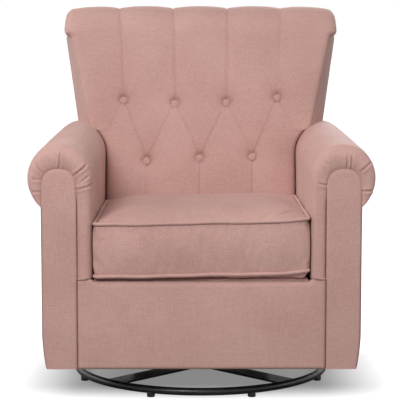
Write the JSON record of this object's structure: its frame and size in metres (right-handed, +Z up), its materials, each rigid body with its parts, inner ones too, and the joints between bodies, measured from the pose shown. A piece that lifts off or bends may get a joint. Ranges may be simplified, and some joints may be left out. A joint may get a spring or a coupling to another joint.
{
  "type": "glider nursery chair",
  "caption": "Upholstered swivel glider armchair with scroll arms, tufted leaning back, loose seat cushion and round tube base.",
  "frame": {"origin": "on the floor on the swivel axis, at the middle of the bounding box's base", "axes": "+Z up, the chair faces -Y, +X to the sitter's left"},
  "size_m": [0.8, 0.84, 0.95],
  "materials": {
    "upholstery": "woven linen look, blush",
    "foam": "open cell foam",
    "frame_wood": "unfinished board",
    "black_steel": "satin black",
    "plated_steel": "zinc plated",
    "spring_steel": "oiled",
    "stop_rubber": "matte",
    "glide_plastic": "matte black"
  },
  "bodies": {
    "base": {"base_cross": "black_steel", "base_ring": "black_steel", "floor_glides": "glide_plastic", "king_bolt": "black_steel", "lower_bearing_plate": "plated_steel"},
    "ball_cage": {"ball_cage": "plated_steel"},
    "swivel_frame": {"cross_channel_front": "plated_steel", "cross_channel_rear": "plated_steel", "rubber_stops": "stop_rubber", "swivel_side_plate_left": "plated_steel", "swivel_side_plate_right": "plated_steel", "upper_bearing_plate": "plated_steel", "upper_studs": "plated_steel"},
    "front_links": {"swing_links_front": "plated_steel"},
    "rear_links": {"swing_links_rear": "plated_steel"},
    "chair": {"arm_frame_left": "frame_wood", "arm_frame_right": "frame_wood", "arm_front_panel_left": "upholstery", "arm_front_panel_right": "upholstery", "arm_pad_left": "upholstery", "arm_pad_right": "upholstery", "back_pad": "upholstery", "back_side_border_left": "upholstery", "back_side_border_right": "upholstery", "back_stile_left": "frame_wood", "back_stile_right": "frame_wood", "deck_pad": "upholstery", "front_apron": "upholstery", "front_rail": "frame_wood", "lower_back_rail": "frame_wood", "lower_studs": "plated_steel", "outside_back": "upholstery", "rear_rail": "frame_wood", "seat_angle_left": "plated_steel", "seat_angle_right": "plated_steel", "seat_springs": "spring_steel", "side_rail_left": "frame_wood", "side_rail_right": "frame_wood", "tuft_buttons": "upholstery", "upper_back_rail": "frame_wood"},
    "seat_cushion": {"cushion_cover": "upholstery", "cushion_foam": "foam", "cushion_welts": "upholstery", "cushion_zip_band": "upholstery"}
  },
  "joints": [
    {"name": "swivel_turn", "type": "hinge", "parent": "base", "child": "swivel_frame", "pos_m": [0, 0, 0.027], "axis": [0, 0, 1], "continuous": true},
    {"name": "cage_turn", "type": "hinge", "parent": "base", "child": "ball_cage", "pos_m": [0, 0, 0.027], "axis": [0, 0, 1], "continuous": true},
    {"name": "glide", "type": "hinge", "parent": "swivel_frame", "child": "front_links", "pos_m": [0, -0.088, 0.228], "axis": [1, 0, 0], "range_deg": [-28, 28]},
    {"name": "seat_carry", "type": "hinge", "parent": "front_links", "child": "chair", "pos_m": [0, -0.088, 0.106], "axis": [1, 0, 0], "range_deg": [-28, 28]},
    {"name": "rear_link_swing", "type": "hinge", "parent": "swivel_frame", "child": "rear_links", "pos_m": [0, 0.088, 0.228], "axis": [1, 0, 0], "range_deg": [-28, 28]},
    {"name": "cushion_slide", "type": "slide", "parent": "chair", "child": "seat_cushion", "axis": [0, -1, 0], "range_m": [0, 0.6]}
  ],
  "couplings": [
    {"joint": "cage_turn", "follows": "swivel_turn", "ratio": 0.5},
    {"joint": "seat_carry", "follows": "glide", "ratio": -1},
    {"joint": "rear_link_swing", "follows": "glide", "ratio": 1}
  ]
}
